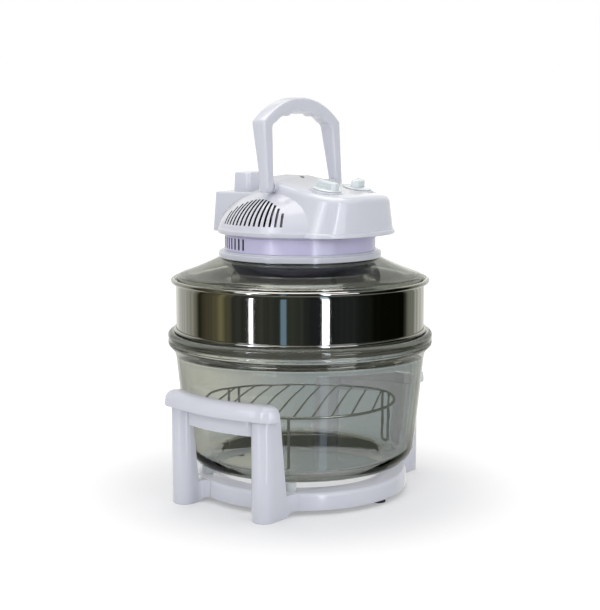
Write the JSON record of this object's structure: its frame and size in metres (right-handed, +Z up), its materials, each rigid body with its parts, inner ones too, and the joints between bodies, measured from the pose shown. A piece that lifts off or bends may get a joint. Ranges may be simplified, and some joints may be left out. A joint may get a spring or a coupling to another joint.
{
  "type": "halogen oven",
  "caption": "Countertop halogen oven: a glass bowl on a handled base ring, a steel extender ring and a lift-off glass lid with lamp, fan, console with knobs and a folding bail handle.",
  "frame": {"origin": "centre of the bounding box's bottom face, on the bowl's axis at the table", "axes": "+Z up, -Y towards the user, where the console faces, X along the line through the two base handles"},
  "size_m": [0.3558, 0.336, 0.4964],
  "materials": {
    "white_plastic": "moulded, glossy, slightly bluish white",
    "lilac_plastic": "moulded, satin, pale lilac",
    "grey_rubber": "moulded",
    "clear_silicone": "moulded, clear",
    "gasket_silicone": "moulded",
    "bowl_glass": "pressed, clear, faintly green",
    "lid_glass": "pressed, clear",
    "lamp_glass": "quartz tube",
    "chrome_wire": "plated wire",
    "mirror_steel": "rolled stainless steel, mirror finish",
    "pan_steel": "pressed, bright",
    "zinc_steel": "zinc plated",
    "motor_steel": "laminated steel and dark plastic",
    "ceramic": "glazed ceramic, unglazed at the ends",
    "control_plastic": "moulded",
    "lens_plastic": "moulded, translucent",
    "black_plastic": "moulded",
    "brass_pins": "plated"
  },
  "bodies": {
    "base": {"base_ring": "white_plastic", "base_feet": "grey_rubber", "bowl_pads": "clear_silicone", "right_handle_frame": "white_plastic", "left_handle_frame": "white_plastic", "right_grip": "white_plastic", "left_grip": "white_plastic", "base_screws": "zinc_steel"},
    "bowl": {"glass_bowl": "bowl_glass"},
    "rack": {"wire_rack": "chrome_wire"},
    "extender": {"extender_ring": "mirror_steel"},
    "lid": {"lid_glass": "lid_glass", "lid_gasket": "gasket_silicone", "flange_ring": "white_plastic", "vent_collar": "lilac_plastic", "heater_pan": "pan_steel", "lamp_guard": "chrome_wire", "halogen_lamp": "lamp_glass", "lamp_holders": "ceramic", "thermostat_bulb": "zinc_steel", "heat_shield": "zinc_steel", "clamp_studs": "zinc_steel", "motor_bracket": "zinc_steel", "fan_motor": "motor_steel", "housing_floor": "white_plastic", "top_housing": "white_plastic", "housing_screws": "zinc_steel", "thermostat": "control_plastic", "timer": "control_plastic", "indicator_lens": "lens_plastic", "power_inlet": "black_plastic", "inlet_pins": "brass_pins", "safety_switch": "black_plastic"},
    "rotor": {"motor_shaft": "zinc_steel", "convection_fan": "zinc_steel", "cooling_fan": "motor_steel"},
    "bail": {"bail_handle": "white_plastic", "bail_pins": "zinc_steel"},
    "plunger": {"switch_plunger": "control_plastic"},
    "thermostat_dial": {"thermostat_knob": "white_plastic"},
    "timer_dial": {"timer_knob": "white_plastic"}
  },
  "joints": [
    {"name": "bowl_lift", "type": "slide", "parent": "base", "child": "bowl", "axis": [0, 0, 1], "range_m": [0, 0.15]},
    {"name": "rack_lift", "type": "slide", "parent": "bowl", "child": "rack", "axis": [0, 0, 1], "range_m": [0, 0.12]},
    {"name": "extender_lift", "type": "slide", "parent": "bowl", "child": "extender", "axis": [0, 0, 1], "range_m": [0, 0.1]},
    {"name": "lid_lift", "type": "slide", "parent": "extender", "child": "lid", "axis": [0, 0, 1], "range_m": [0, 0.15]},
    {"name": "bail_fold", "type": "hinge", "parent": "lid", "child": "bail", "pos_m": [0, -0.004, 0.38737], "axis": [1, 0, 0], "range_deg": [0, 84]},
    {"name": "plunger_press", "type": "slide", "parent": "lid", "child": "plunger", "axis": [0, 0, -1], "range_m": [0, 0.0025]},
    {"name": "fan_spin", "type": "hinge", "parent": "lid", "child": "rotor", "pos_m": [0, 0, 0.34], "axis": [0, 0, 1], "continuous": true},
    {"name": "thermostat_turn", "type": "hinge", "parent": "lid", "child": "thermostat_dial", "pos_m": [0.031, -0.066, 0.38485], "axis": [0, 0.1788, -0.9839], "range_deg": [-70, 200]},
    {"name": "timer_turn", "type": "hinge", "parent": "lid", "child": "timer_dial", "pos_m": [-0.031, -0.066, 0.38485], "axis": [0, 0.1788, -0.9839], "range_deg": [0, 300]}
  ],
  "couplings": [
    {"joint": "plunger_press", "follows": "bail_fold", "m_per_rad": 0.001705}
  ]
}
